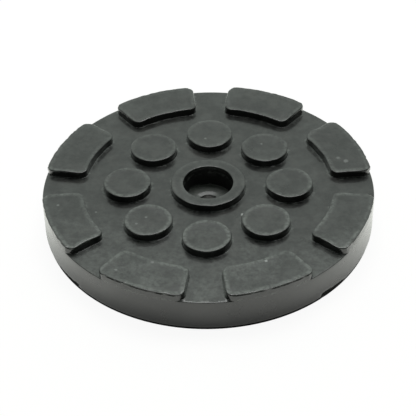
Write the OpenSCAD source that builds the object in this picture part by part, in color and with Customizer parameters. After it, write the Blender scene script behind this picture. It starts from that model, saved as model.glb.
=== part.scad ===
// Round rubber jack pad: a moulded disc with rim blocks, a ring of round studs and a central
// boss, which is recessed and drilled for the screw that holds the pad down.
// Millimetres, +Z up. The origin is the centre of the flat underside.

/* [Disc] */
// Diameter of the pad
pad_d = 120; // [112:1:150]
// Height of the channel floor above the underside
floor_h = 12.5; // [11:0.1:16]
// Round along the bottom edge of the side wall
bottom_round = 0.4; // [0.3:0.1:1.5]

/* [Treads] */
// Height of the blocks, the studs and the boss above the channel floor
tread_h = 2.8; // [2:0.1:4]
// Number of rim blocks, and of the studs that stand in line with the gaps between them
tread_count = 8; // [6:1:10]
// Round along the top edges
edge_round = 0.5; // [0.2:0.1:0.8]
// Fillet where the studs and the boss meet the channel floor
foot_fillet = 0.4; // [0.2:0.1:0.6]

/* [Rim blocks] */
// Width of a rim block, from the rim inwards
block_w = 14.8; // [10:0.1:16]
// Angle of the gap between two rim blocks, in degrees
gap_angle = 13.4; // [8:0.2:18]
// Radius of a rim block's corners, seen from above
block_corner = 3; // [1.5:0.1:4.5]

/* [Studs] */
// Diameter of a stud
stud_d = 16.9; // [12:0.1:18]

/* [Centre] */
// Diameter of the boss
boss_d = 27; // [23:0.1:30]
// Diameter of the recess for the screw head and its washer
recess_d = 18; // [14:0.1:20]
// Depth of the recess below the top of the boss
recess_depth = 8.5; // [5:0.1:10]
// Diameter of the screw hole
hole_d = 7.5; // [5:0.1:9]
// Width of the bevel round the top of the screw hole
bevel_w = 1.9; // [0.5:0.1:2.2]
// Depth of that bevel
bevel_depth = 0.5; // [0.2:0.1:1.5]

/* [Worn places] */
// Height of the worn places along the bottom edge
worn_h = 1.7; // [1:0.1:3]
// Depth of the worn places into the side wall
worn_depth = 0.5; // [0.3:0.1:1.5]
// How far a worn place runs round the rim, in degrees
worn_angle = 11.5; // [5:0.5:20]

/* [Hidden] */
$fn = 96;

// how far a tread is sunk in the disc, and a cut runs past the surface that it opens
past = 1;
// how far a rounding shape is set past the faces that it blends, so that it crosses them
proud = 0.01;

rim_r = pad_d / 2;
pad_h = floor_h + tread_h;
pitch = 360 / tread_count;
block_in_r = rim_r - block_w;
block_half = (pitch - gap_angle) / 2;
// the studs stand midway between the boss and the rim blocks
stud_circle_r = (boss_d / 2 + block_in_r) / 2;
recess_floor = pad_h - recess_depth;
// where the two worn places start round the rim, in degrees from +X
worn_starts = [-149, -49];

// Half section of a round tread of radius r: a straight wall with its top edge rounded
module tread_section(r) {
    translate([0, -past]) square([r, past + tread_h - edge_round]);
    square([r - edge_round, tread_h]);
    translate([r - edge_round, tread_h - edge_round]) circle(edge_round);
}

// Half section of the fillet round the foot of a tread of radius r
module foot_section(r) {
    difference() {
        translate([r - foot_fillet, -past]) square([2 * foot_fillet, past + foot_fillet - proud]);
        translate([r + foot_fillet, foot_fillet - proud]) circle(foot_fillet);
    }
}

// Section of a rim block, from its inner wall to the side wall of the pad
module block_section() {
    translate([block_in_r, -past]) square([block_w, past + tread_h - edge_round]);
    translate([block_in_r + edge_round, 0]) square([block_w - 2 * edge_round, tread_h]);
    for (r = [block_in_r + edge_round, rim_r - edge_round])
        translate([r, tread_h - edge_round]) circle(edge_round);
}

// Disc of the pad up to the channel floor, with the edges of its side wall rounded
module disc() {
    rotate_extrude() {
        square([rim_r - bottom_round, floor_h - edge_round]);
        translate([0, bottom_round]) square([rim_r, floor_h - bottom_round - edge_round]);
        translate([0, bottom_round]) square([rim_r - edge_round, floor_h - bottom_round]);
        translate([rim_r - bottom_round, bottom_round]) circle(bottom_round);
        translate([rim_r - edge_round, floor_h - edge_round]) circle(edge_round);
    }
}

// Round tread, with its foot filleted into the channel floor
module round_tread(d) {
    rotate_extrude() {
        tread_section(d / 2);
        foot_section(d / 2);
    }
}

// What a rounded top edge loses, where the wall below it is at x = r
module edge_loss(r) {
    translate([r - edge_round, tread_h - edge_round]) difference() {
        square([edge_round + past, edge_round + past]);
        circle(edge_round);
    }
}

// What a corner of a rim block loses in plan. Its centre is the origin, the block's side is at
// y = block_corner, and the wall that ends the side leans by turn from the x = block_corner line.
module corner_loss(turn) {
    far = 2 * block_corner;
    difference() {
        polygon([[0, 0], [far, -far * tan(turn)], [far, far], [0, far]]);
        circle(block_corner);
    }
}

// Puts its children at the side of each rim block, with the block at y < 0 and the rim towards +X
module at_block_sides() {
    for (i = [0 : tread_count - 1]) rotate([0, 0, (i + 0.5) * pitch])
        for (flip = [0, 1]) mirror([0, flip, 0])
            rotate([0, 0, block_half]) children();
}

// The gaps between the rim blocks, with radial sides
module gap_cut() {
    far = 2 * rim_r;
    for (i = [0 : tread_count - 1]) rotate([0, 0, i * pitch])
        translate([0, 0, -2 * past]) linear_extrude(tread_h + 3 * past)
            polygon([[0, 0], [far, -far * tan(gap_angle / 2)], [far, far * tan(gap_angle / 2)]]);
}

// Ring of rim blocks on z = 0. The walls that end a block's sides are arcs, so the centre of
// each corner stands off the side by the corner radius, and off the arc by as much.
module rim_blocks() {
    in_r = block_in_r + block_corner;
    out_r = rim_r - block_corner;
    in_turn = asin(block_corner / in_r);
    out_turn = asin(block_corner / out_r);
    in_x = in_r * cos(in_turn);
    out_x = out_r * cos(out_turn);
    difference() {
        difference() {
            difference() {
                rotate_extrude() block_section();
                gap_cut();
            }
            at_block_sides() translate([block_in_r - past, proud, proud])
                rotate([90, 0, 90]) linear_extrude(block_w + 2 * past) edge_loss(0);
        }
        at_block_sides() translate([0, proud - block_corner, -2 * past])
            linear_extrude(tread_h + 3 * past) {
                translate([out_x + proud, 0]) corner_loss(out_turn);
                translate([in_x - proud, 0]) mirror([1, 0]) corner_loss(-in_turn);
            }
        at_block_sides() translate([0, 2 * proud - block_corner, proud]) {
            translate([out_x + 2 * proud, 0, 0]) rotate([0, 0, -out_turn])
                rotate_extrude(angle = 90 + out_turn) edge_loss(block_corner);
            translate([in_x - 2 * proud, 0, 0]) rotate([0, 0, 90])
                rotate_extrude(angle = 90 - in_turn) edge_loss(block_corner);
        }
    }
}

// Recess, bevel and screw hole in one turned cut, with the mouth of the recess rounded
module screw_cut() {
    mouth = pad_h - edge_round;
    rotate_extrude() {
        polygon([
            [0, -past],
            [hole_d / 2, -past],
            [hole_d / 2, recess_floor - bevel_depth],
            [hole_d / 2 + bevel_w, recess_floor],
            [recess_d / 2, recess_floor],
            [recess_d / 2, pad_h + past],
            [0, pad_h + past]
        ]);
        difference() {
            translate([recess_d / 2 - edge_round, mouth]) square([2 * edge_round, edge_round + past]);
            translate([recess_d / 2 + edge_round, mouth]) circle(edge_round);
        }
    }
}

// Worn places on the bottom edge, where the side wall has lost a shallow strip
module worn_cut() {
    for (start = worn_starts)
        rotate([0, 0, start]) rotate_extrude(angle = worn_angle)
            translate([rim_r - worn_depth, -past]) square([worn_depth + past, past + worn_h]);
}

module pad() {
    color("#50544f") difference() {
        union() {
            disc();
            translate([0, 0, floor_h]) {
                rim_blocks();
                round_tread(boss_d);
                for (i = [0 : tread_count - 1])
                    rotate([0, 0, i * pitch]) translate([stud_circle_r, 0, 0]) round_tread(stud_d);
            }
        }
        screw_cut();
        worn_cut();
    }
}

pad();
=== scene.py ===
# Dressed model of a round rubber jack pad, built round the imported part.
# Outlines are worked out in millimetres, and every mesh is made in metres.

import math

import bmesh
import bpy
import numpy as np
from mathutils import Matrix, Vector, noise
from mathutils.geometry import delaunay_2d_cdt


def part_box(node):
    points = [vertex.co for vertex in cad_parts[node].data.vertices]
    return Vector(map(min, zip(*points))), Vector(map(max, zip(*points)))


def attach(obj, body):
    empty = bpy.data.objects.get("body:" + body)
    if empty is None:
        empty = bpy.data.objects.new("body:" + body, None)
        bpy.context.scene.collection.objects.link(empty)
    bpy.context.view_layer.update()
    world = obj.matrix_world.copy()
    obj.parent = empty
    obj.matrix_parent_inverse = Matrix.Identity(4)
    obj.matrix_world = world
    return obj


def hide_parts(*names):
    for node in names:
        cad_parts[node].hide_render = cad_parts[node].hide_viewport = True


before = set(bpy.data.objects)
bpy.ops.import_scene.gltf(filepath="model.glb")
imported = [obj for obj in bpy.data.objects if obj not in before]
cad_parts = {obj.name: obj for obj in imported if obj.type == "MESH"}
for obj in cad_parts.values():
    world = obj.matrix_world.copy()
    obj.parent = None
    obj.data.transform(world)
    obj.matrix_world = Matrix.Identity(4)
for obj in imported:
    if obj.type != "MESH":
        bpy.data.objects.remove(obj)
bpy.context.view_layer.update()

scene = bpy.context.scene
scene.view_settings.view_transform = "Standard"

mm = 0.001
low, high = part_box("pad")
padRadius = 60.0
padHeight = round((high.z - low.z) / mm, 2)
print("frame loaded: the pad is", padHeight, "mm high")

# What a user would change in the moulding, in millimetres and degrees

disc = {
    "floor": padHeight - 2.8,      # height of the channel floor
    "bottomRound": 0.3,
    "bottomTuck": 0.34,            # how far the side wall draws in above its bottom edge
    "edgeRound": 0.5,              # round along the top edges
    "rimRound": 0.22,              # the outer edges of the rim are crisper
    "footFillet": 0.38,
    "floorSpacing": 0.95,          # distance between the points of the channel floor
    "underSpacing": 2.4,
}

blocks = {
    "count": 8,
    "firstAngle": 22.5,            # the studs stand on the axes, the blocks between them
    "innerRadius": 45.2,
    "gapAngle": 13.4,
    "corner": 3.0,
    "spacing": 0.95,
    "droop": 0.2,                  # how far the top sinks at a corner
    "dish": 0.05,                  # how far the middle of the top lies below its edges,
    "crack": 0.26,                 # depth of the crack below the outer top edge
}

studs = {
    "count": 8,
    "firstAngle": 0.0,
    "circle": 29.35,
    "radius": 8.58,
    "points": 64,
    "dish": 0.14,
}

boss = {
    "radius": 13.5,
    "points": 112,
    "recessRadius": 9.0,
    "recessFloor": padHeight - 8.5,
    "recessFillet": 0.3,
    "bevelWidth": 1.9,
    "bevelDepth": 0.5,
    "holeRadius": 3.75,
}

# Start and end of each worn place round the rim in degrees, its height at the two ends, its
# depth and how much deeper it gets towards the bottom
wornPlaces = [
    {"start": -149.5, "end": -137.4, "from": 1.7, "to": 2.3, "shallow": 0.1, "deep": 0.3},
    {"start": -37.5, "end": -49.2, "from": 1.8, "to": 2.7, "shallow": 0.16, "deep": 0.5},
]

edge = disc["edgeRound"]
rimEdge = disc["rimRound"]
floorAt = disc["floor"]
shoulder = floorAt - rimEdge       # where the side wall starts to round over in a gap
edgeRing = padRadius - rimEdge


def polar(radius, angle):
    return radius * math.cos(angle), radius * math.sin(angle)


def smooth(t):
    t = min(1.0, max(0.0, t))
    return t * t * (3 - 2 * t)


def spread(start, end, count):
    return [start + (end - start) * i / count for i in range(count + 1)]


# A sheet is a pair of points and faces. Sheets are joined and merged into closed meshes later.

def rowSheet(rows, closed=True):
    count = len(rows[0])
    points = [p for row in rows for p in row]
    faces = []
    for r in range(len(rows) - 1):
        a, b = r * count, (r + 1) * count
        for i in range(count if closed else count - 1):
            j = (i + 1) % count
            faces.append((a + i, a + j, b + j, b + i))
    return points, faces


def insideLoop(px, py, loop):
    inside = np.zeros(len(px), bool)
    for (x1, y1), (x2, y2) in zip(loop, loop[1:] + loop[:1]):
        if y1 != y2:
            crossing = (y1 > py) != (y2 > py)
            inside ^= crossing & (px < (x2 - x1) * (py - y1) / (y2 - y1) + x1)
    return inside


def clearOf(px, py, loops, gap):
    keep = np.ones(len(px), bool)
    for loop in loops:
        for x, y in loop:
            keep &= (px - x) ** 2 + (py - y) ** 2 > gap * gap
    return keep


def flatSheet(outer, holes, spacing, height, faceDown=False):
    # even triangles between an outer loop and its holes, all at one height
    outer = [tuple(p[:2]) for p in outer]
    holes = [[tuple(p[:2]) for p in hole] for hole in holes]
    reach = max(max(abs(x), abs(y)) for x, y in outer) + spacing
    rowCount = int(reach / (spacing * 0.866)) + 1
    grid = [((i + 0.5 * (j % 2)) * spacing, j * spacing * 0.866)
            for j in range(-rowCount, rowCount + 1)
            for i in range(-int(reach / spacing) - 1, int(reach / spacing) + 2)]
    gx, gy = np.array(grid).T
    keep = insideLoop(gx, gy, outer)
    for hole in holes:
        keep &= ~insideLoop(gx, gy, hole)
    gx, gy = gx[keep], gy[keep]
    keep = clearOf(gx, gy, [outer] + holes, spacing * 0.62)
    points, edges = [], []
    for loop in [outer] + holes:
        start = len(points)
        points += [Vector(p) for p in loop]
        edges += [(start + i, start + (i + 1) % len(loop)) for i in range(len(loop))]
    points += [Vector(p) for p in zip(gx[keep], gy[keep])]
    made = delaunay_2d_cdt(points, edges, [], 0, 1e-6)
    flat, faces = made[0], made[2]
    cx = np.array([sum(flat[v].x for v in f) / 3 for f in faces])
    cy = np.array([sum(flat[v].y for v in f) / 3 for f in faces])
    keep = insideLoop(cx, cy, outer)
    for hole in holes:
        keep &= ~insideLoop(cx, cy, hole)
    kept = []
    for face, inside in zip(faces, keep):
        a, b, c = (flat[v] for v in face)
        turn = (b - a).cross(c - a)
        if inside and abs(turn) > 0.002:      # leaves out slivers between points in a line
            kept.append(tuple(face) if (turn > 0) != faceDown else tuple(reversed(face)))
    return [(p.x, p.y, height) for p in flat], kept


def joinSheets(name, sheets):
    points, faces = [], []
    for sheetPoints, sheetFaces in sheets:
        start = len(points)
        points += [(x * mm, y * mm, z * mm) for x, y, z in sheetPoints]
        faces += [tuple(start + v for v in face) for face in sheetFaces]
    mesh = bpy.data.meshes.new(name)
    mesh.from_pydata(points, [], faces)
    work = bmesh.new()
    work.from_mesh(mesh)
    bmesh.ops.remove_doubles(work, verts=work.verts, dist=0.002 * mm)
    loose = [v for v in work.verts if not v.link_faces]
    bmesh.ops.delete(work, geom=loose, context="VERTS")
    work.to_mesh(mesh)
    work.free()
    return mesh


# A rim block in plan, at angle 0: a ring sector with rounded corners. Each station holds its
# place, the outward direction of the wall, the height of its foot, the fillet there and the
# round of its top edge.

def blockStations():
    corner = blocks["corner"]
    half = math.radians((360 / blocks["count"] - blocks["gapAngle"]) / 2)
    outRadius = padRadius - corner
    inRadius = blocks["innerRadius"] + corner
    outAngle = half - math.asin(corner / outRadius)
    inAngle = half - math.asin(corner / inRadius)
    outX, outY = polar(outRadius, outAngle)
    inX, inY = polar(inRadius, inAngle)
    # the corner meets the rounded edge of the gap until it has come in to edgeRing
    bend = (edgeRing ** 2 - outRadius ** 2 - corner ** 2) / (2 * outRadius * corner)
    clipTurn = math.acos(bend)
    stations = []

    def add(x, y, direction, foot, run):
        inward = smooth(run / 2.5)
        stations.append((x, y, math.cos(direction), math.sin(direction), foot,
                         disc["footFillet"] * inward, rimEdge + (edge - rimEdge) * inward))

    rimSteps = round(outAngle * padRadius / blocks["spacing"])
    for angle in spread(0, outAngle, rimSteps):
        add(*polar(padRadius, angle), angle, shoulder, 0)
    for turn in spread(0, clipTurn, 4)[1:]:
        x, y = outX + corner * math.cos(outAngle + turn), outY + corner * math.sin(outAngle + turn)
        rise = max(0.0, rimEdge ** 2 - (math.hypot(x, y) - edgeRing) ** 2) ** 0.5
        add(x, y, outAngle + turn, shoulder + rise, 0)
    clipIndex = len(stations) - 1
    endTurn = half + math.pi / 2 - outAngle
    for turn in spread(clipTurn, endTurn, 7)[1:]:
        direction = outAngle + turn
        add(outX + corner * math.cos(direction), outY + corner * math.sin(direction),
            direction, floorAt, corner * (turn - clipTurn))
    side = half + math.pi / 2
    length = math.hypot(outX - inX, outY - inY)
    for t in spread(0, 1, 10)[1:]:
        add(outX + (inX - outX) * t + corner * math.cos(side),
            outY + (inY - outY) * t + corner * math.sin(side), side, floorAt, 9)
    for direction in spread(side, inAngle + math.pi, 8)[1:]:
        add(inX + corner * math.cos(direction), inY + corner * math.sin(direction),
            direction, floorAt, 9)
    for angle in spread(inAngle, 0, 11)[1:]:
        add(*polar(blocks["innerRadius"], angle), angle + math.pi, floorAt, 9)
    mirrored = [(x, -y, nx, -ny, *rest) for x, y, nx, ny, *rest in reversed(stations[1:-1])]
    lastClip = len(stations) + len(mirrored) - clipIndex
    return stations + mirrored, rimSteps, clipIndex, lastClip, length


stations, rimSteps, clipIndex, lastClip, sideLength = blockStations()
print("rim block outline:", len(stations), "stations, sides", round(sideLength, 1), "mm long")

footRise = disc["footFillet"]
filletSteps = [math.radians(a) for a in (0, 30, 60, 90)]
roundSteps = [math.radians(a) for a in (0, 15, 32, 50, 70, 90)]


def wallRows(foot, fillet, top, edge=disc["edgeRound"], crack=None):
    # how far out and how high each row stands, from the foot of a wall to the flat top
    rows = [(fillet * (1 - math.sin(a)), foot + footRise * (1 - math.cos(a))) for a in filletSteps]
    rows += [(0, z) for z in spread(foot + footRise, top - edge, 4)[1:-1]]
    if crack is not None:
        rows += [(-out * crack, top - edge - low) for low, out in ((0.46, 0), (0.3, 1), (0.14, 1))]
    rows += [(edge * (math.cos(a) - 1), top - edge + edge * math.sin(a)) for a in roundSteps]
    return rows


def treadLow(x, y):
    # how far the top of a block lies below its nominal height
    radius, angle = math.hypot(x, y), abs(math.atan2(y, x))
    half = math.radians((360 / blocks["count"] - blocks["gapAngle"]) / 2)
    middle = (padRadius + blocks["innerRadius"]) / 2
    u = (radius - middle) / (padRadius - middle)
    v = angle / half
    low = blocks["dish"] * max(0.0, 1 - u ** 4) * max(0.0, 1 - v ** 4)
    for r in (padRadius - 1, blocks["innerRadius"] + 1):
        x1, y1 = polar(r, half - 1 / r)
        low += blocks["droop"] * math.exp(-((x - x1) ** 2 + (abs(y) - y1) ** 2) / 9)
    return low


def settle(sheet, lowAt):
    # lowers the upper part of a tread by lowAt, and leaves its foot where it is
    points = [(x, y, z - lowAt(x, y) * smooth((z - floorAt - 0.6) / 1.6)) for x, y, z in sheet[0]]
    return points, sheet[1]


def makeBlock():
    columns = []
    for x, y, nx, ny, foot, fillet, topRound in stations:
        outer = math.hypot(x, y) > padRadius - 0.01
        rows = wallRows(foot, fillet, padHeight, topRound, blocks["crack"] if outer else 0)
        rows += [(-d, padHeight) for d in (0.85, 1.3, 1.9, 2.4)]
        columns.append([(x + nx * out, y + ny * out, z) for out, z in rows])
    walls = rowSheet([list(row) for row in zip(*columns)])
    top = flatSheet([column[-1] for column in columns], [], blocks["spacing"], padHeight)
    return joinSheets("blockTread", [settle(walls, treadLow), settle(top, treadLow)])


def makeStud():
    radius = studs["radius"]
    rows = wallRows(floorAt, disc["footFillet"], padHeight)
    inner = [0.8, 1.2, 1.7, 2.3, 2.9]
    rows += [(-d, padHeight) for d in inner]
    angles = [2 * math.pi * i / studs["points"] for i in range(studs["points"])]
    rings = [[(*polar(radius + out, a), z) for a in angles] for out, z in rows]

    def dish(x, y):
        return studs["dish"] * smooth((radius - 0.7 - math.hypot(x, y)) / 3.2)

    top = flatSheet(rings[-1], [], disc["floorSpacing"], padHeight)
    return joinSheets("studTread", [settle(rowSheet(rings), dish), settle(top, dish)])


# The body: side wall, rounded edge in each gap, channel floor, boss with its bore, underside

def turned(x, y, angle):
    c, s = math.cos(angle), math.sin(angle)
    return x * c - y * s, x * s + y * c


def wornRadius(angle, z, radius):
    degrees = math.degrees(angle)
    degrees = (degrees + 180) % 360 - 180
    tuckTop = 1.45
    for place in wornPlaces:
        along = (degrees - place["start"]) / (place["end"] - place["start"])
        if 0 <= along <= 1:
            ragged = noise.noise(Vector((degrees * 0.9, 0.3, 7.1)))
            top = place["from"] + (place["to"] - place["from"]) * along + 0.25 * ragged
            ends = smooth(along / 0.03) * smooth((1 - along) / 0.03)
            depth = place["shallow"] + (place["deep"] - place["shallow"]) * along ** 3
            depth *= ends * smooth((top - z) / 0.3 + 0.5)
            radius = min(radius, padRadius - depth)
            tuckTop = max(tuckTop, top + 0.15)
    return min(radius, padRadius - disc["bottomTuck"] * smooth((tuckTop - z) / 0.8))


def makeBody():
    blockAngles = [math.radians(blocks["firstAngle"] + 360 / blocks["count"] * k)
                   for k in range(blocks["count"])]
    rimAngles = [math.atan2(y, x) for x, y, *rest in stations[:rimSteps + 1]]
    rimAngles = [-a for a in reversed(rimAngles[1:])] + rimAngles
    clips = [(math.atan2(y, x), math.hypot(x, y))
             for x, y, *rest in stations[rimSteps + 1:clipIndex + 1]]
    pitch = 2 * math.pi / blocks["count"]
    clipAngle = clips[-1][0]
    gapAngles = spread(clipAngle, pitch - clipAngle, 16)[1:-1]
    gapColumns = [(rimAngles[-1], padRadius)] + clips
    gapColumns += [(a, edgeRing) for a in gapAngles]
    gapColumns += [(pitch - a, r) for a, r in reversed(clips)] + [(pitch - rimAngles[-1], padRadius)]

    sheets, wallAngles, floorLoop = [], [], []
    bounds = [stations[i] for i in range(lastClip, clipIndex - 1, -1)]
    for middle in blockAngles:
        wallAngles += [middle + a for a in rimAngles]
        wallAngles += [middle + a for a, r in gapColumns[1:-1]]
        floorLoop += [turned(x + nx * fillet, y + ny * fillet, middle)
                      for x, y, nx, ny, foot, fillet, topRound in bounds]
        floorLoop += [polar(edgeRing, middle + a) for a in gapAngles]
        columns = []
        for angle, radius in gapColumns:
            end = math.acos(min(1.0, (radius - edgeRing) / rimEdge))
            columns.append([(*polar(edgeRing + rimEdge * math.cos(a), middle + angle),
                             shoulder + rimEdge * math.sin(a)) for a in spread(0, end, 4)])
        sheets.append(rowSheet([list(row) for row in zip(*columns)], closed=False))

    bottom = disc["bottomRound"]
    profile = [(padRadius - bottom + bottom * math.cos(a), bottom + bottom * math.sin(a))
               for a in spread(-math.pi / 2, 0, 5)]
    heights = [0.5, 0.7, 0.9, 1.15, 1.4, 1.6, 1.8, 2.0, 2.3, 2.8, 3.8, 5.2, 6.8, 8.4, 9.9, 11.1, shoulder]
    profile += [(padRadius, z) for z in heights]
    sheets.append(rowSheet([[(*polar(wornRadius(a, z, r), a), z) for a in wallAngles]
                            for r, z in profile]))

    ringAngles = [2 * math.pi * i / boss["points"] for i in range(boss["points"])]
    outline = [(boss["radius"] + out, z)
               for out, z in wallRows(floorAt, disc["footFillet"], padHeight)]
    mouth = boss["recessRadius"] + edge
    outline += [(r, padHeight) for r in spread(boss["radius"] - edge, mouth, 6)[1:]]
    outline += [(mouth - edge * math.sin(a), padHeight - edge + edge * math.cos(a))
                for a in spread(0, math.pi / 2, 5)[1:]]
    recess, fillet = boss["recessFloor"], boss["recessFillet"]
    outline += [(boss["recessRadius"], z) for z in spread(padHeight - edge, recess + fillet, 7)[1:]]
    outline += [(boss["recessRadius"] - fillet * (1 - math.cos(a)), recess + fillet * (1 - math.sin(a)))
                for a in spread(0, math.pi / 2, 3)[1:]]
    bevelOuter = boss["holeRadius"] + boss["bevelWidth"]
    outline += [(r, recess) for r in spread(boss["recessRadius"] - fillet, bevelOuter, 4)[1:]]
    outline += [(bevelOuter - boss["bevelWidth"] * t, recess - boss["bevelDepth"] * t)
                for t in spread(0, 1, 3)[1:]]
    outline += [(boss["holeRadius"], z) for z in spread(recess - boss["bevelDepth"], 0, 5)[1:]]
    sheets.append(rowSheet([[(*polar(r, a), z) for a in ringAngles] for r, z in outline]))

    studFoot = studs["radius"] + disc["footFillet"]
    holes = [[polar(boss["radius"] + disc["footFillet"], a) for a in ringAngles]]
    for k in range(studs["count"]):
        angle = math.radians(studs["firstAngle"]) + 2 * math.pi * k / studs["count"]
        loop = [polar(studFoot, 2 * math.pi * i / studs["points"]) for i in range(studs["points"])]
        holes.append([turned(studs["circle"] + x, y, angle) for x, y in loop])
    sheets.append(flatSheet(floorLoop, holes, disc["floorSpacing"], floorAt))
    sheets.append(flatSheet([polar(wornRadius(a, 0, padRadius - bottom), a) for a in wallAngles],
                            [[polar(boss["holeRadius"], a) for a in ringAngles]],
                            disc["underSpacing"], 0.0, faceDown=True))
    return joinSheets("padBody", sheets)


# Node trees

def nodeTree(name, inputs):
    tree = bpy.data.node_groups.new(name, "GeometryNodeTree")
    tree.interface.new_socket("Geometry", in_out="INPUT", socket_type="NodeSocketGeometry")
    tree.interface.new_socket("Geometry", in_out="OUTPUT", socket_type="NodeSocketGeometry")
    names = {}
    for label, kind in inputs:
        socket = tree.interface.new_socket(label, in_out="INPUT", socket_type="NodeSocket" + kind)
        names[label] = socket.identifier
    return tree, names


def adder(tree):
    def add(kind, inputs=None, **settings):
        node = tree.nodes.new(kind)
        for key, value in settings.items():
            setattr(node, key, value)
        for key, value in (inputs or {}).items():
            if isinstance(value, bpy.types.NodeSocket):
                tree.links.new(value, node.inputs[key])
            else:
                node.inputs[key].default_value = value
        return node
    return add


def ringTree():
    # stands copies of a tread round a circle and merges their feet with the body
    tree, names = nodeTree("treadRing", [
        ("Tread", "Object"), ("Count", "Int"), ("First Angle", "Float"),
        ("Circle Radius", "Float"), ("Merge Distance", "Float"), ("Material", "Material")])
    add = adder(tree)
    given = add("NodeGroupInput").outputs
    index = add("GeometryNodeInputIndex").outputs[0]
    part = add("ShaderNodeMath", {0: index, 1: given["Count"]}, operation="DIVIDE").outputs[0]
    angle = add("ShaderNodeMath", {0: part, 1: 2 * math.pi, 2: given["First Angle"]},
                operation="MULTIPLY_ADD").outputs[0]
    cosine = add("ShaderNodeMath", {0: angle}, operation="COSINE").outputs[0]
    sine = add("ShaderNodeMath", {0: angle}, operation="SINE").outputs[0]
    onCircle = add("ShaderNodeCombineXYZ", {0: cosine, 1: sine}).outputs[0]
    place = add("ShaderNodeVectorMath", {0: onCircle, 3: given["Circle Radius"]},
                operation="SCALE").outputs[0]
    points = add("GeometryNodePoints", {"Count": given["Count"]}).outputs[0]
    placed = add("GeometryNodeSetPosition", {"Geometry": points, "Position": place}).outputs[0]
    tread = add("GeometryNodeObjectInfo", {"Object": given["Tread"]}).outputs["Geometry"]
    spin = add("ShaderNodeCombineXYZ", {2: angle}).outputs[0]
    turn = add("FunctionNodeEulerToRotation", {0: spin}).outputs[0]
    copies = add("GeometryNodeInstanceOnPoints",
                 {"Points": placed, "Instance": tread, "Rotation": turn}).outputs[0]
    both = add("GeometryNodeJoinGeometry")
    tree.links.new(given["Geometry"], both.inputs[0])
    tree.links.new(copies, both.inputs[0])
    real = add("GeometryNodeRealizeInstances", {0: both.outputs[0]}).outputs[0]
    merged = add("GeometryNodeMergeByDistance",
                 {"Geometry": real, "Distance": given["Merge Distance"]}).outputs[0]
    done = add("GeometryNodeSetMaterial", {"Geometry": merged, "Material": given["Material"]})
    add("NodeGroupOutput", {0: done.outputs[0]})
    return tree, names


def skinTree():
    # the slight waves and pits of a moulded rubber skin, kept off the flat underside
    tree, names = nodeTree("mouldedSkin", [
        ("Wave Size", "Float"), ("Wave Height", "Float"), ("Ripple Size", "Float"),
        ("Ripple Height", "Float"), ("Flat Below", "Float"), ("Seed", "Float"),
        ("Material", "Material")])
    add = adder(tree)
    given = add("NodeGroupInput").outputs
    position = add("GeometryNodeInputPosition").outputs[0]
    normal = add("GeometryNodeInputNormal").outputs[0]
    height = add("ShaderNodeSeparateXYZ", {0: position}).outputs[2]
    total = None
    for size, rise in (("Wave Size", "Wave Height"), ("Ripple Size", "Ripple Height")):
        scale = add("ShaderNodeMath", {0: 1.0, 1: given[size]}, operation="DIVIDE").outputs[0]
        value = add("ShaderNodeTexNoise", {"Vector": position, "W": given["Seed"], "Scale": scale,
                                           "Detail": 2.0}, noise_dimensions="4D").outputs[0]
        centred = add("ShaderNodeMath", {0: value, 1: 0.5}, operation="SUBTRACT").outputs[0]
        lift = add("ShaderNodeMath", {0: centred, 1: given[rise]}, operation="MULTIPLY").outputs[0]
        total = lift if total is None else add("ShaderNodeMath", {0: total, 1: lift}).outputs[0]
    double = add("ShaderNodeMath", {0: given["Flat Below"], 1: 2.0}, operation="MULTIPLY").outputs[0]
    fade = add("ShaderNodeMapRange", {"Value": height, "From Min": given["Flat Below"],
                                      "From Max": double}).outputs[0]
    weighted = add("ShaderNodeMath", {0: total, 1: fade}, operation="MULTIPLY").outputs[0]
    offset = add("ShaderNodeVectorMath", {0: normal, 3: weighted}, operation="SCALE").outputs[0]
    moved = add("GeometryNodeSetPosition",
                {"Geometry": given["Geometry"], "Offset": offset}).outputs[0]
    real = add("GeometryNodeRealizeInstances", {0: moved}).outputs[0]
    done = add("GeometryNodeSetMaterial", {"Geometry": real, "Material": given["Material"]})
    add("NodeGroupOutput", {0: done.outputs[0]})
    return tree, names


def addTree(target, tree, names, values):
    modifier = target.modifiers.new(tree.name, "NODES")
    modifier.node_group = tree
    for label, value in values.items():
        modifier[names[label]] = value


# Black rubber

rubber = {
    "dark": (0.008, 0.009, 0.008, 1),
    "light": (0.05, 0.054, 0.05, 1),
    "warm": (0.05, 0.05, 0.046, 1),      # where the treads are rubbed bare
    "dustAndHighlight": (0.22, 0.24, 0.22, 1),        # light film: dust on the tops, painted highlight along the top edges and at the feet of the treads, and a lighter floor in the recess
    "darkShade": (0.004, 0.0045, 0.004, 1),     # painted shade: near black in the rim's notches, along the bottom edge, in the crack under the front blocks' top edge and in the recess
    "darkShadeRoughness": 0.65,
    "chalk": (0.62, 0.64, 0.62, 1),        # stray specks
    "topRoughness": 0.30,
    "sideRoughness": 0.24,
    "dustRoughness": 0.2,                  # what a full film of dust adds
    "coat": 1.0,                           # the skin that the mould leaves
    "coatRoughness": 0.14,
}

# Stray specks: place in mm, size in mm and strength
specks = [
    ((12.6, -15.0), 0.85, 1.0),
    ((20.3, -42.4), 0.6, 0.9),
    ((-53.2, -12.9), 0.6, 0.35),
    ((-39.8, -13.5), 0.5, 0.3),
    ((-21.5, -19.5), 0.55, 0.4),
    ((-24.7, -22.9), 0.5, 0.35),
    ((-18.1, -43.1), 0.6, 0.4),
    ((-30.2, -46.7), 0.6, 0.4),
    ((50.5, 12.2), 1.1, 0.35),
    ((47.7, 14.0), 0.9, 0.25),
    ((-1.5, 26.2), 0.55, 0.35),
    ((19.6, 22.8), 0.5, 0.35),
]


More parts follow.
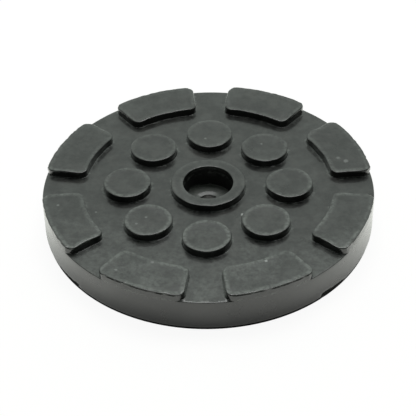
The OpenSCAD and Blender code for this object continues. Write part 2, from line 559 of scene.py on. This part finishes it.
def rubberMaterial():
    material = bpy.data.materials.new("blackRubber")
    material.use_nodes = True
    tree = material.node_tree
    shader = tree.nodes["Principled BSDF"]
    shader.inputs["IOR"].default_value = 1.5
    shader.inputs["Coat Roughness"].default_value = rubber["coatRoughness"]
    add = adder(tree)
    texture = add("ShaderNodeTexCoord").outputs
    place = texture["Object"]

    def cloud(scale, detail, roughness=0.5):
        return add("ShaderNodeTexNoise", {"Vector": place, "Scale": scale, "Detail": detail,
                                          "Roughness": roughness}).outputs[0]

    def ranged(value, start, end, low, high):
        return add("ShaderNodeMapRange", {"Value": value, "From Min": start, "From Max": end,
                                          "To Min": low, "To Max": high}).outputs[0]

    def mixed(factor, first, second):
        node = add("ShaderNodeMix", data_type="RGBA")
        tree.links.new(factor, node.inputs[0])
        for socket, value in ((node.inputs[6], first), (node.inputs[7], second)):
            if isinstance(value, bpy.types.NodeSocket):
                tree.links.new(value, socket)
            else:
                socket.default_value = value
        return node.outputs[2]

    def times(first, second):
        return add("ShaderNodeMath", {0: first, 1: second}, operation="MULTIPLY").outputs[0]

    across, depth, height = add("ShaderNodeSeparateXYZ", {0: place}).outputs
    facing = add("ShaderNodeSeparateXYZ", {0: texture["Normal"]}).outputs[2]
    onTop = times(ranged(height, (floorAt - 0.6) * mm, (floorAt - 0.2) * mm, 0, 1),
                  ranged(facing, 0.5, 0.85, 0, 1))
    patches = times(ranged(cloud(170, 5, 0.65), 0.42, 0.62, 0, 1), ranged(onTop, 0, 1, 0.3, 1))
    bare = mixed(ranged(cloud(75, 3), 0.45, 0.6, 0, 1), rubber["light"], rubber["warm"])
    body = mixed(patches, rubber["dark"], bare)
    # painted shade, near black, rough and without coat
    darkShade = add("ShaderNodeAttribute", attribute_name="paintedShade").outputs["Fac"]
    body = mixed(darkShade, body, rubber["darkShade"])

    # painted highlight along the treads' top edges, partly dust on the worn edges
    edgeMark = add("ShaderNodeAttribute", attribute_name="edgeDustAndHighlight").outputs["Fac"]
    footMark = add("ShaderNodeAttribute", attribute_name="footDustAndHighlight").outputs["Fac"]
    edgeDustHighlight = times(edgeMark, ranged(cloud(520, 5, 0.75), 0.38, 0.58, 0.15, 1))
    edgeDustHighlight = times(edgeDustHighlight, ranged(cloud(95, 3), 0.38, 0.55, 0.5, 1))
    # painted highlight: the edge band is lighter towards the front
    edgeDustHighlight = times(edgeDustHighlight, ranged(depth, 0.03, -0.04, 0.5, 1.45))
    # painted highlight along the feet of the treads, partly dust
    footDustHighlight = times(footMark, ranged(cloud(330, 4, 0.75), 0.47, 0.6, 0, 0.7))
    # a lighter film on the floor of the recess
    inRecess = times(ranged(footMark, 1, 2, 0, 1), ranged(cloud(700, 3), 0.35, 0.65, 0.75, 1))
    # dust haze on the tops, with painted light that makes it lighter at the front and on the left
    topDustAndLight = times(ranged(cloud(620, 4, 0.72), 0.36, 0.66, 0.04, 0.34), onTop)
    topDustAndLight = times(topDustAndLight, ranged(cloud(120, 3), 0.4, 0.6, 0.45, 1))
    topDustAndLight = times(topDustAndLight, ranged(depth, -0.01, -0.046, 0.4, 1.9))      # painted light: it is lighter at the front
    topDustAndLight = times(topDustAndLight, ranged(across, 0.05, -0.05, 0.95, 1.2))     # and on the left
    # the light film: dust, painted highlight and a lighter recess floor
    film = add("ShaderNodeMath", {0: edgeDustHighlight, 1: footDustHighlight}, operation="MAXIMUM").outputs[0]
    film = add("ShaderNodeMath", {0: film, 1: topDustAndLight}, operation="MAXIMUM").outputs[0]
    film = add("ShaderNodeMath", {0: film, 1: inRecess}, operation="MAXIMUM").outputs[0]
    colour = mixed(film, body, rubber["dustAndHighlight"])

    ragged = add("ShaderNodeTexNoise", {"Vector": place, "Scale": 2200}).outputs[0]
    flat = add("ShaderNodeVectorMath", {0: place, 1: (1, 1, 0)}, operation="MULTIPLY").outputs[0]
    chalk = None
    for (x, y), size, strength in specks:
        away = add("ShaderNodeVectorMath", {0: flat, 1: (x * mm, y * mm, 0)},
                   operation="DISTANCE").outputs["Value"]
        away = add("ShaderNodeMath", {0: ragged, 1: -size * mm, 2: away},
                   operation="MULTIPLY_ADD").outputs[0]
        spot = ranged(away, 0, size * 0.6 * mm, strength, 0)
        chalk = spot if chalk is None else add("ShaderNodeMath", {0: chalk, 1: spot},
                                               operation="MAXIMUM").outputs[0]
    colour = mixed(times(chalk, onTop), colour, rubber["chalk"])
    tree.links.new(colour, shader.inputs["Base Color"])

    smudges = ranged(cloud(90, 4), 0.3, 0.7, -0.04, 0.06)
    sheen = ranged(onTop, 0, 1, rubber["sideRoughness"], rubber["topRoughness"])
    rough = add("ShaderNodeMath", {0: sheen, 1: smudges}).outputs[0]
    rough = add("ShaderNodeMath", {0: film, 1: rubber["dustRoughness"], 2: rough},
                operation="MULTIPLY_ADD").outputs[0]
    rough = add("ShaderNodeMath", {0: darkShade, 1: rubber["darkShadeRoughness"], 2: rough},
                operation="MULTIPLY_ADD").outputs[0]
    tree.links.new(rough, shader.inputs["Roughness"])
    # no coat where the dark shade is painted
    tree.links.new(ranged(darkShade, 0, 1, rubber["coat"], 0), shader.inputs["Coat Weight"])

    grain = add("ShaderNodeMath", {0: cloud(2600, 3), 1: cloud(700, 3), 2: 0.5},
                operation="MULTIPLY_ADD").outputs[0]
    pits = times(ranged(darkShade, 0.75, 1, 0, 6), cloud(760, 4, 0.7))       # rough pits where the dark shade is painted
    grain = add("ShaderNodeMath", {0: grain, 1: pits}, operation="ADD").outputs[0]
    bump = add("ShaderNodeBump", {"Height": grain, "Strength": 0.25, "Distance": 0.00006})
    tree.links.new(bump.outputs[0], shader.inputs["Normal"])
    return material


print("making the moulding")
black = rubberMaterial()
bodyObject = bpy.data.objects.new("padBody", makeBody())
blockObject = bpy.data.objects.new("blockTread", makeBlock())
studObject = bpy.data.objects.new("studTread", makeStud())
for made in (bodyObject, blockObject, studObject):
    scene.collection.objects.link(made)
print("body", len(bodyObject.data.polygons), "faces, block", len(blockObject.data.polygons),
      "faces, stud", len(studObject.data.polygons), "faces")

ring, ringNames = ringTree()
for treadObject, sizes, circle in ((blockObject, blocks, 0.0), (studObject, studs, studs["circle"])):
    addTree(bodyObject, ring, ringNames, {
        "Tread": treadObject, "Count": sizes["count"],
        "First Angle": math.radians(sizes["firstAngle"]),
        "Circle Radius": circle * mm, "Merge Distance": 0.004 * mm, "Material": black})
skin, skinNames = skinTree()
addTree(bodyObject, skin, skinNames, {
    "Wave Size": 0.022, "Wave Height": 0.00022, "Ripple Size": 0.0035, "Ripple Height": 0.00005,
    "Flat Below": 0.002, "Seed": 4.0, "Material": black})

bpy.context.view_layer.update()
shown = bodyObject.evaluated_get(bpy.context.evaluated_depsgraph_get())
padMesh = bpy.data.meshes.new_from_object(shown)
padMesh.name = "rubberPad"
for made in (bodyObject, blockObject, studObject):
    bpy.data.objects.remove(made)


# Wear on single treads: nicks are given by their place, size, depth and direction, in mm

nicks = [
    ((-21.3, -2.9, 14.3), 1.5, 0.5, (-0.9, 0.3, -0.4)),
    ((-22.2, -4.8, 14.0), 1.3, 0.45, (-0.8, 0.5, -0.3)),
    ((-24.0, -6.7, 14.2), 1.1, 0.35, (-0.6, 0.7, -0.4)),
    ((22.3, -4.6, 13.9), 1.4, 0.45, (0.85, 0.5, -0.2)),
    ((24.4, 13.2, 14.4), 1.5, 0.5, (-0.4, 0.8, -0.5)),
]


warp = {
    "seed": 1,                     # without it noise_vector differs from run to run
    "slow": 0.34,                  # how far the tops wander, over about 6 and 2.5 mm
    "quick": 0.16,
    "most": 0.4,                   # how far a top may stand above the nominal height
    "lift": 0.48,                   # one side of the rim stands a little higher
    "liftAngle": 58.0,
    "liftWidth": 34.0,
    "edgeBandWidth": 2.5,              # width of the band of dust and painted highlight along a tread's edge
}


def insideBlock(x, y):
    # distance from a place on top of the rim blocks to the nearest edge, below 0 in the gaps
    pitch = 2 * math.pi / blocks["count"]
    half = math.radians((360 / blocks["count"] - blocks["gapAngle"]) / 2)
    radius = math.hypot(x, y)
    angle = (math.atan2(y, x) - math.radians(blocks["firstAngle"]) + pitch / 2) % pitch - pitch / 2
    across = min(radius - blocks["innerRadius"], padRadius - radius)
    along = radius * math.sin(half - abs(angle))
    corner = blocks["corner"]
    if across < corner and along < corner:
        return corner - math.hypot(corner - across, corner - along)
    return min(across, along)


def insideRound(x, y):
    # the same for the studs and the boss, with the radius of the tread that is meant
    best = (boss["radius"] - math.hypot(x, y), boss["radius"])
    pitch = 2 * math.pi / studs["count"]
    angle = (math.atan2(y, x) + pitch / 2) % pitch - pitch / 2
    radius = math.hypot(x, y)
    away = math.hypot(radius * math.cos(angle) - studs["circle"], radius * math.sin(angle))
    return max(best, (studs["radius"] - away, studs["radius"]))


def markDustAndPaintedLight(mesh):
    # keeps for the material the dust and painted highlight along the treads' top edges and at their feet, a
    # lighter recess floor, and the painted shade
    edgeMark = mesh.attributes.new("edgeDustAndHighlight", "FLOAT", "POINT")
    footMark = mesh.attributes.new("footDustAndHighlight", "FLOAT", "POINT")
    darkShade = mesh.attributes.new("paintedShade", "FLOAT", "POINT")
    edgeMarkValues, footMarkValues, darkShadeValues = [], [], []
    for vertex in mesh.vertices:
        x, y, z = (c / mm for c in vertex.co)
        radius = math.hypot(x, y)
        inBlock = insideBlock(x, y)
        inRound = insideRound(x, y)[0]
        inside = max(inBlock, inRound)
        if radius < boss["radius"]:
            inside = min(inside, radius - boss["recessRadius"] + 0.3)
        edgeAmount = dustAndHighlight = 0.0
        # dust and painted highlight along the top edges of the treads
        if z > padHeight - 0.8 and inside > -0.2:
            edgeAmount = smooth((inside - 0.05) / 0.5) * smooth((warp["edgeBandWidth"] - inside) / 1.8)
        # painted highlight at the feet of the treads, partly dust
        if abs(z - floorAt) < 0.2:
            dustAndHighlight = smooth(1 + (inside + disc["footFillet"]) / 0.6)
        # a lighter film on the floor of the recess
        if radius < boss["recessRadius"] and boss["recessFloor"] - 1 < z < boss["recessFloor"] + 0.6:
            dustAndHighlight = 2.0
        if radius < boss["radius"]:
            edgeAmount *= 0.45
        edgeMarkValues.append(edgeAmount)
        footMarkValues.append(dustAndHighlight)
        shadeAmount = 0.0
        # painted shade in the worn notches and along the bottom of the side wall
        if z < 3 and radius > 57:
            shadeAmount = (padRadius - wornRadius(math.atan2(y, x), max(z, 1.25), padRadius)) / 0.12
            shadeAmount = max(shadeAmount, smooth((1.35 - z) / 0.4)) if z > 0.02 else 0
        # painted shade in the crack under the outer top edge of the front blocks
        if radius > 58.9 and padHeight - 0.66 < z < padHeight - 0.26:
            shadeAmount = cracked(x, y)
        # painted shade on the walls of the recess, and a little on its floor
        if radius < boss["recessRadius"] + 0.2 and z < padHeight - 0.6:
            shadeAmount = 0.7 if z > boss["recessFloor"] + 0.5 else 0.25
        darkShadeValues.append(min(1.0, shadeAmount))
    edgeMark.data.foreach_set("value", edgeMarkValues)
    footMark.data.foreach_set("value", footMarkValues)
    darkShade.data.foreach_set("value", darkShadeValues)


def cracked(x, y):
    # how open the crack below the outer top edge is: only the front blocks have it
    return smooth((-y - 27) / 6) * smooth(2.4 * noise.noise(Vector((x * 0.4, y * 0.4, 9.2))) + 0.8)


def wearTreads(mesh):
    for vertex in mesh.vertices:
        x, y, z = (c / mm for c in vertex.co)
        radius = math.hypot(x, y)
        if 0.1 < padRadius - radius < 0.4 and floorAt + 1 < z < padHeight - 0.31:
            closed = (padRadius - (padRadius - radius) * cracked(x, y)) / radius
            x, y = x * closed, y * closed
            radius *= closed
        up = smooth((z - floorAt - 0.3) / 1.8)
        if up and radius > boss["recessRadius"] + 1.5:
            # no tread is quite true: its top wanders off its foot
            slow, quick = Vector((x * 0.16, y * 0.16, 4.4)), Vector((x * 0.42, y * 0.42, 1.3))
            shift = (noise.noise_vector(slow) * warp["slow"] + noise.noise_vector(quick) * warp["quick"]) * up
            side = radius > padRadius - 0.6
            x, y = x + shift.x, y + shift.y
            if side:                                 # the side wall stays straight
                back = 1 + 0.75 * (radius / math.hypot(x, y) - 1)
                x, y = x * back, y * back
            z += shift.z * 0.22
            turn = (math.degrees(math.atan2(y, x)) - warp["liftAngle"]) / warp["liftWidth"]
            z += warp["lift"] * up * math.exp(-turn * turn) * smooth((radius - 44) / 8)
            z = min(z, padHeight + warp["most"])
            far = math.hypot(x, y)
            if far > padRadius:
                x, y = x * padRadius / far, y * padRadius / far
            radius = min(far, padRadius)
        if radius > 57.5 and z > floorAt + 0.6:
            # the outer top edge of the blocks is a little ragged
            along = Vector((x * 0.55, y * 0.55, 2.3))
            fine = Vector((x * 1.7, y * 1.7, 5.1))
            pull = 0.2 * abs(noise.noise(along)) + 0.5 * max(0.0, noise.noise(fine) - 0.15)
            near = smooth((radius - 57.5) / 2) * smooth((z - floorAt - 0.6) / 1.6)
            x, y = x * (1 - pull * near / radius), y * (1 - pull * near / radius)
            z -= 0.3 * pull * near
        for centre, size, depth, direction in nicks:
            away = math.dist((x, y, z), centre) / size
            if away < 1:
                push = depth * (1 - away * away) ** 2
                x, y, z = (c + push * d for c, d in zip((x, y, z), direction))
        vertex.co = (x * mm, y * mm, z * mm)


def closeMesh(mesh):
    work = bmesh.new()
    work.from_mesh(mesh)
    bmesh.ops.remove_doubles(work, verts=work.verts, dist=0.002 * mm)
    bmesh.ops.recalc_face_normals(work, faces=work.faces)
    openEdges = sum(1 for e in work.edges if len(e.link_faces) != 2)
    volume = work.calc_volume() / mm ** 3
    work.to_mesh(mesh)
    work.free()
    print("closed mesh:", len(mesh.polygons), "faces,", openEdges, "open edges,",
          round(volume), "mm3")


noise.seed_set(warp["seed"])
wearTreads(padMesh)
closeMesh(padMesh)
markDustAndPaintedLight(padMesh)
padMesh.materials.clear()
padMesh.materials.append(black)
padMesh.polygons.foreach_set("use_smooth", [True] * len(padMesh.polygons))
padMesh.set_sharp_from_angle(angle=math.radians(48))
rubberPad = bpy.data.objects.new("rubberPad", padMesh)
scene.collection.objects.link(rubberPad)
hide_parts("pad")
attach(rubberPad, "root")

# The hidden node keeps the same rubber
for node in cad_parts.values():
    node.data.materials.clear()
    node.data.materials.append(black)


# Pale floor and soft light

studio = {
    "floorSize": 3.0,
    "floorDrop": 0.00003,          # keeps the floor clear of the flat underside
    "floorColour": (0.86, 0.86, 0.86, 1),
    "seenColour": (2.44, 2.42, 2.3, 1),      # the same floor to the camera and in reflections
    "whiteShare": 0.69,            # how much of the floor is plain white to the camera
    "glossyShare": 0.24,           # and in reflections
    "backColour": (0.91, 1.0, 0.93, 1),
    "backLevel": 0.6,             # world light from behind the pad
    "frontLevel": 0.05,            # and from the camera's side
}


def floorMaterial():
    material = bpy.data.materials.new("paleFloor")
    material.use_nodes = True
    tree = material.node_tree
    tree.nodes.clear()
    add = adder(tree)
    rays = add("ShaderNodeLightPath").outputs
    seen = rays["Is Camera Ray"]
    for kind in ("Is Glossy Ray", "Is Transmission Ray"):
        seen = add("ShaderNodeMath", {0: seen, 1: rays[kind]}, operation="MAXIMUM").outputs[0]
    colour = add("ShaderNodeMix", data_type="RGBA")
    tree.links.new(seen, colour.inputs[0])
    colour.inputs[6].default_value = studio["floorColour"]
    colour.inputs[7].default_value = studio["seenColour"]
    plain = add("ShaderNodeBsdfDiffuse", {"Color": colour.outputs[2]}).outputs[0]
    white = add("ShaderNodeEmission", {"Color": (1, 1, 1, 1), "Strength": 1.0}).outputs[0]
    share = add("ShaderNodeMath", {0: seen, 1: studio["glossyShare"]},
                operation="MULTIPLY").outputs[0]
    share = add("ShaderNodeMath", {0: rays["Is Camera Ray"], 1: studio["whiteShare"], 2: share},
                operation="MULTIPLY_ADD").outputs[0]
    mix = add("ShaderNodeMixShader", {0: share, 1: plain, 2: white}).outputs[0]
    below = add("ShaderNodeNewGeometry").outputs["Backfacing"]     # clear from underneath
    clear = add("ShaderNodeBsdfTransparent").outputs[0]
    mix = add("ShaderNodeMixShader", {0: below, 1: mix, 2: clear}).outputs[0]
    add("ShaderNodeOutputMaterial", {0: mix})
    return material


def makeFloor():
    mesh = bpy.data.meshes.new("paleFloor")
    half = studio["floorSize"] / 2
    level = -studio["floorDrop"]
    mesh.from_pydata([(-half, -half, level), (half, -half, level), (half, half, level),
                      (-half, half, level)], [], [(0, 1, 2, 3)])
    mesh.materials.append(floorMaterial())
    floor = bpy.data.objects.new("paleFloor", mesh)
    scene.collection.objects.link(floor)


def makeWorld():
    world = bpy.data.worlds.new("studio")
    scene.world = world
    world.use_nodes = True
    tree = world.node_tree
    tree.nodes.clear()
    add = adder(tree)
    direction = add("ShaderNodeTexCoord").outputs["Generated"]
    toBack = add("ShaderNodeSeparateXYZ", {0: direction}).outputs[1]
    level = add("ShaderNodeMapRange", {
        "Value": toBack, "From Min": -0.1, "From Max": 0.7,
        "To Min": studio["frontLevel"], "To Max": studio["backLevel"]},
        interpolation_type="SMOOTHSTEP").outputs[0]
    light = add("ShaderNodeBackground",
                {"Color": studio["backColour"], "Strength": level}).outputs[0]
    white = add("ShaderNodeBackground", {"Color": (1, 1, 1, 1), "Strength": 1.0}).outputs[0]
    seen = add("ShaderNodeLightPath").outputs["Is Camera Ray"]
    mix = add("ShaderNodeMixShader", {0: seen, 1: light, 2: white}).outputs[0]
    add("ShaderNodeOutputWorld", {0: mix})


softLights = [
    {"name": "overheadLight", "at": (0.06, 0.35, 0.95), "size": (0.6, 0.5), "watts": 2.8},
]


def makeLights():
    for sizes in softLights:
        light = bpy.data.lights.new(sizes["name"], "AREA")
        light.shape = "RECTANGLE"
        light.size, light.size_y = sizes["size"]
        light.energy = sizes["watts"]
        lamp = bpy.data.objects.new(sizes["name"], light)
        lamp.location = sizes["at"]
        lamp.rotation_euler = (-Vector(sizes["at"])).to_track_quat("-Z", "Y").to_euler()
        scene.collection.objects.link(lamp)


# The camera, from the fit of the rim, the studs and the recess to the photograph

view = {
    "elevation": 0.7002,
    "roll": -0.0202,
    "azimuth": 0.0305,             # the pad is turned this much from a straight view
    "aside": (0.0006, 0.157),      # how far the pad's middle is off the line of sight, in radii
    "distance": 8.3325,            # along the line of sight, in radii
    "focalPixels": 1380.99,
    "imagePixels": 416,
}


def makeCamera():
    elevation, roll = view["elevation"], view["roll"]
    forward = Vector((0, math.cos(elevation), -math.sin(elevation)))
    right = Vector((1, 0, 0))
    up = right.cross(forward)
    right, up = (math.cos(roll) * right + math.sin(roll) * up,
                 math.cos(roll) * up - math.sin(roll) * right)
    radius = padRadius * mm
    aside, raised = view["aside"]
    place = -(aside * right + raised * up + view["distance"] * forward) * radius
    place.z += padHeight * mm
    matrix = Matrix((right, up, -forward)).transposed().to_4x4()
    matrix.translation = place
    data = bpy.data.cameras.new("photoCamera")
    data.sensor_width = 36
    data.lens = view["focalPixels"] / view["imagePixels"] * data.sensor_width
    data.clip_start = 0.01
    camera = bpy.data.objects.new("photoCamera", data)
    camera.matrix_world = Matrix.Rotation(view["azimuth"], 4, "Z") @ matrix
    scene.collection.objects.link(camera)
    scene.camera = camera


print("making the studio")
makeFloor()
makeWorld()
makeLights()
makeCamera()

bpy.context.view_layer.update()
print("finishing")
